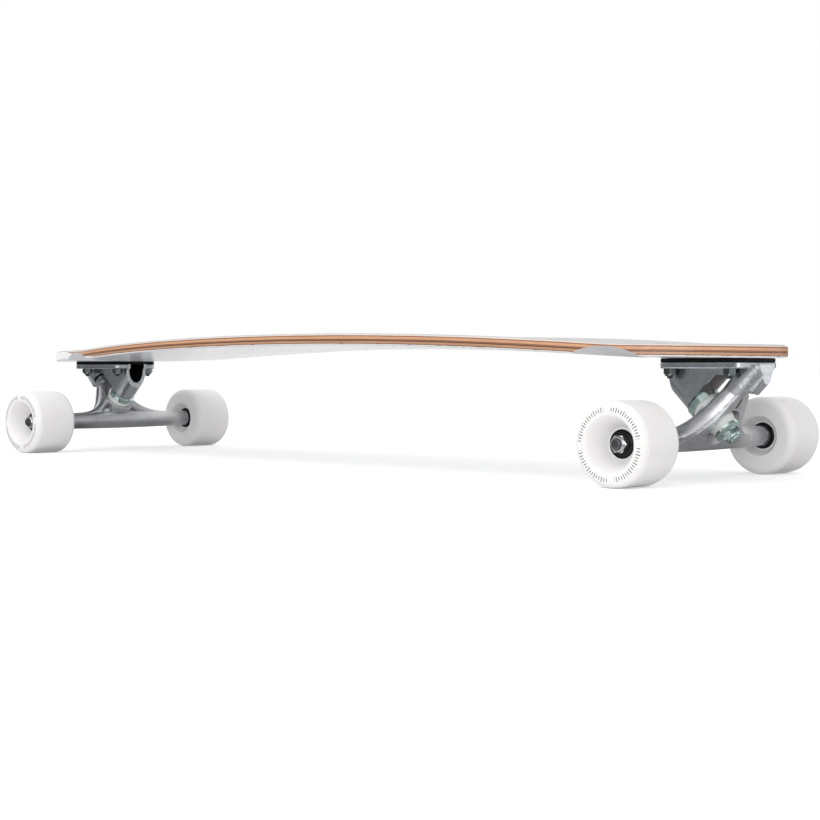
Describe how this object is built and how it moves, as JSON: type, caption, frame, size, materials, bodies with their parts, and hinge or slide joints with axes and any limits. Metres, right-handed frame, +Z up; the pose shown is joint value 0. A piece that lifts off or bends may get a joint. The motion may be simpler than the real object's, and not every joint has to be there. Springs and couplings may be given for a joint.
{
  "type": "longboard skateboard",
  "caption": "Cambered longboard with a drawn-out tail, wheel wells, cast reverse-kingpin trucks that steer on bushings, and soft white wheels on sealed bearings.",
  "frame": {"origin": "on the ground under the middle of the deck's length and width", "axes": "+X to the nose, +Y to the rider's left when facing the nose, +Z up"},
  "size_m": [0.91, 0.264, 0.1194],
  "materials": {
    "maple_ply": "satin lacquer",
    "grit_sheet": "fine grit",
    "pad_rubber": "matt",
    "cast_base": "satin cast",
    "cast_hanger": "satin cast",
    "zinc_steel": "zinc plated",
    "dark_steel": "dark oxide",
    "bearing_steel": "polished",
    "seal_rubber": "satin",
    "bushing_urethane": "satin",
    "urethane": "satin"
  },
  "bodies": {
    "board": {"deck": "maple_ply", "grip_sheet": "grit_sheet", "front_riser_pad": "pad_rubber", "front_baseplate": "cast_base", "front_pivot_cup": "seal_rubber", "front_kingpin": "dark_steel", "front_kingpin_nut": "zinc_steel", "front_boardside_bushing": "bushing_urethane", "front_roadside_bushing": "bushing_urethane", "front_boardside_washer": "zinc_steel", "front_roadside_washer": "zinc_steel", "front_deck_bolts": "dark_steel", "front_deck_nuts": "zinc_steel", "rear_riser_pad": "pad_rubber", "rear_baseplate": "cast_base", "rear_pivot_cup": "seal_rubber", "rear_kingpin": "dark_steel", "rear_kingpin_nut": "zinc_steel", "rear_boardside_bushing": "bushing_urethane", "rear_roadside_bushing": "bushing_urethane", "rear_boardside_washer": "zinc_steel", "rear_roadside_washer": "zinc_steel", "rear_deck_bolts": "dark_steel", "rear_deck_nuts": "zinc_steel"},
    "front_hanger_body": {"front_hanger": "cast_hanger", "front_axle": "dark_steel", "front_left_bearing_inner_rings": "bearing_steel", "front_left_bearing_spacer": "zinc_steel", "front_left_speed_rings": "zinc_steel", "front_left_axle_nut": "zinc_steel", "front_right_bearing_inner_rings": "bearing_steel", "front_right_bearing_spacer": "zinc_steel", "front_right_speed_rings": "zinc_steel", "front_right_axle_nut": "zinc_steel"},
    "front_left_wheel_body": {"front_left_wheel": "urethane", "front_left_bearing_outer_rings": "bearing_steel", "front_left_bearing_shields": "seal_rubber", "front_left_bearing_balls": "bearing_steel"},
    "front_right_wheel_body": {"front_right_wheel": "urethane", "front_right_bearing_outer_rings": "bearing_steel", "front_right_bearing_shields": "seal_rubber", "front_right_bearing_balls": "bearing_steel"},
    "rear_hanger_body": {"rear_hanger": "cast_hanger", "rear_axle": "dark_steel", "rear_left_bearing_inner_rings": "bearing_steel", "rear_left_bearing_spacer": "zinc_steel", "rear_left_speed_rings": "zinc_steel", "rear_left_axle_nut": "zinc_steel", "rear_right_bearing_inner_rings": "bearing_steel", "rear_right_bearing_spacer": "zinc_steel", "rear_right_speed_rings": "zinc_steel", "rear_right_axle_nut": "zinc_steel"},
    "rear_left_wheel_body": {"rear_left_wheel": "urethane", "rear_left_bearing_outer_rings": "bearing_steel", "rear_left_bearing_shields": "seal_rubber", "rear_left_bearing_balls": "bearing_steel"},
    "rear_right_wheel_body": {"rear_right_wheel": "urethane", "rear_right_bearing_outer_rings": "bearing_steel", "rear_right_bearing_shields": "seal_rubber", "rear_right_bearing_balls": "bearing_steel"}
  },
  "joints": [
    {"name": "front_steer", "type": "hinge", "parent": "board", "child": "front_hanger_body", "pos_m": [0.39884, 0, 0.05195], "axis": [0.7071, 0, 0.7071], "range_deg": [-15, 15], "stiffness_Nm_per_rad": 60, "deforming": ["front_boardside_bushing", "front_roadside_bushing"]},
    {"name": "front_left_roll", "type": "hinge", "parent": "front_hanger_body", "child": "front_left_wheel_body", "pos_m": [0.39, 0, 0.0325], "axis": [0, 1, 0], "continuous": true},
    {"name": "front_right_roll", "type": "hinge", "parent": "front_hanger_body", "child": "front_right_wheel_body", "pos_m": [0.39, 0, 0.0325], "axis": [0, 1, 0], "continuous": true},
    {"name": "rear_steer", "type": "hinge", "parent": "board", "child": "rear_hanger_body", "pos_m": [-0.36484, 0, 0.05195], "axis": [-0.7071, 0, 0.7071], "range_deg": [-15, 15], "stiffness_Nm_per_rad": 60, "deforming": ["rear_boardside_bushing", "rear_roadside_bushing"]},
    {"name": "rear_left_roll", "type": "hinge", "parent": "rear_hanger_body", "child": "rear_left_wheel_body", "pos_m": [-0.356, 0, 0.0325], "axis": [0, 1, 0], "continuous": true},
    {"name": "rear_right_roll", "type": "hinge", "parent": "rear_hanger_body", "child": "rear_right_wheel_body", "pos_m": [-0.356, 0, 0.0325], "axis": [0, 1, 0], "continuous": true}
  ]
}
